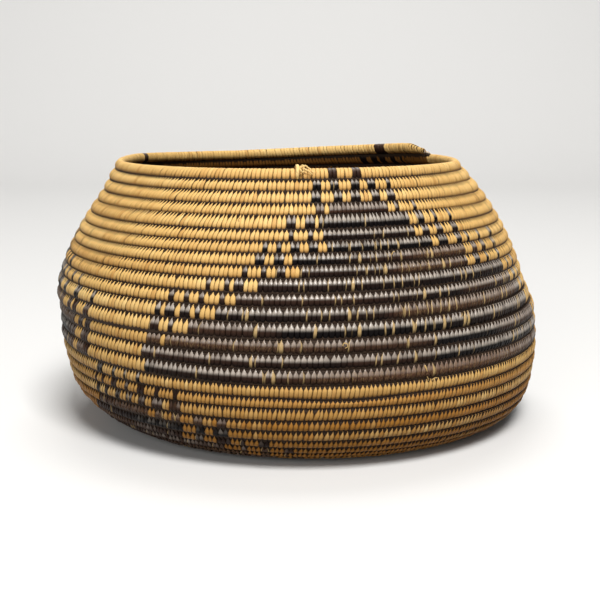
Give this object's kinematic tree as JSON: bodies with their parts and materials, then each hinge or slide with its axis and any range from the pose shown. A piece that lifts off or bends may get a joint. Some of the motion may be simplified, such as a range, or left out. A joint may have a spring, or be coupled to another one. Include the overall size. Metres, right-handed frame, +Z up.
{
  "type": "coiled basketry bowl",
  "caption": "Round coiled basket bowl with a flat base, a full belly and an incurving neck; a bundle of grass sewn in a climbing spiral, with dyed stepped pyramids.",
  "frame": {"origin": "on the surface that the bowl stands on, below the middle of its bounding box", "axes": "+Z up through the mouth, -Y towards the front with the rim's tie, +X to the right seen from the front"},
  "size_m": [0.2311, 0.2308, 0.1256],
  "materials": {
    "pale_straw": "satin, split stem",
    "straw": "satin, split stem",
    "dark_rush": "satin, dyed split stem"
  },
  "bodies": {
    "root": {"base_coil": "straw", "belly_coil": "dark_rush", "dark_stitch_back_left_1": "dark_rush", "dark_stitch_back_left_2": "dark_rush", "dark_stitch_back_right_1": "dark_rush", "dark_stitch_back_right_2": "dark_rush", "dark_stitch_back_right_3": "dark_rush", "dark_stitch_back_right_4": "dark_rush", "dark_stitch_front_left_1": "dark_rush", "dark_stitch_front_left_2": "dark_rush", "dark_stitch_front_right_1": "dark_rush", "dark_stitch_front_right_2": "dark_rush", "heel_coil": "straw", "neck_coil": "pale_straw", "rim_coil": "pale_straw", "rim_tie_end_1": "pale_straw", "rim_tie_end_2": "pale_straw", "rim_tie_knot": "pale_straw", "rim_tie_loop": "pale_straw", "start_knot": "straw"}
  },
  "joints": []
}
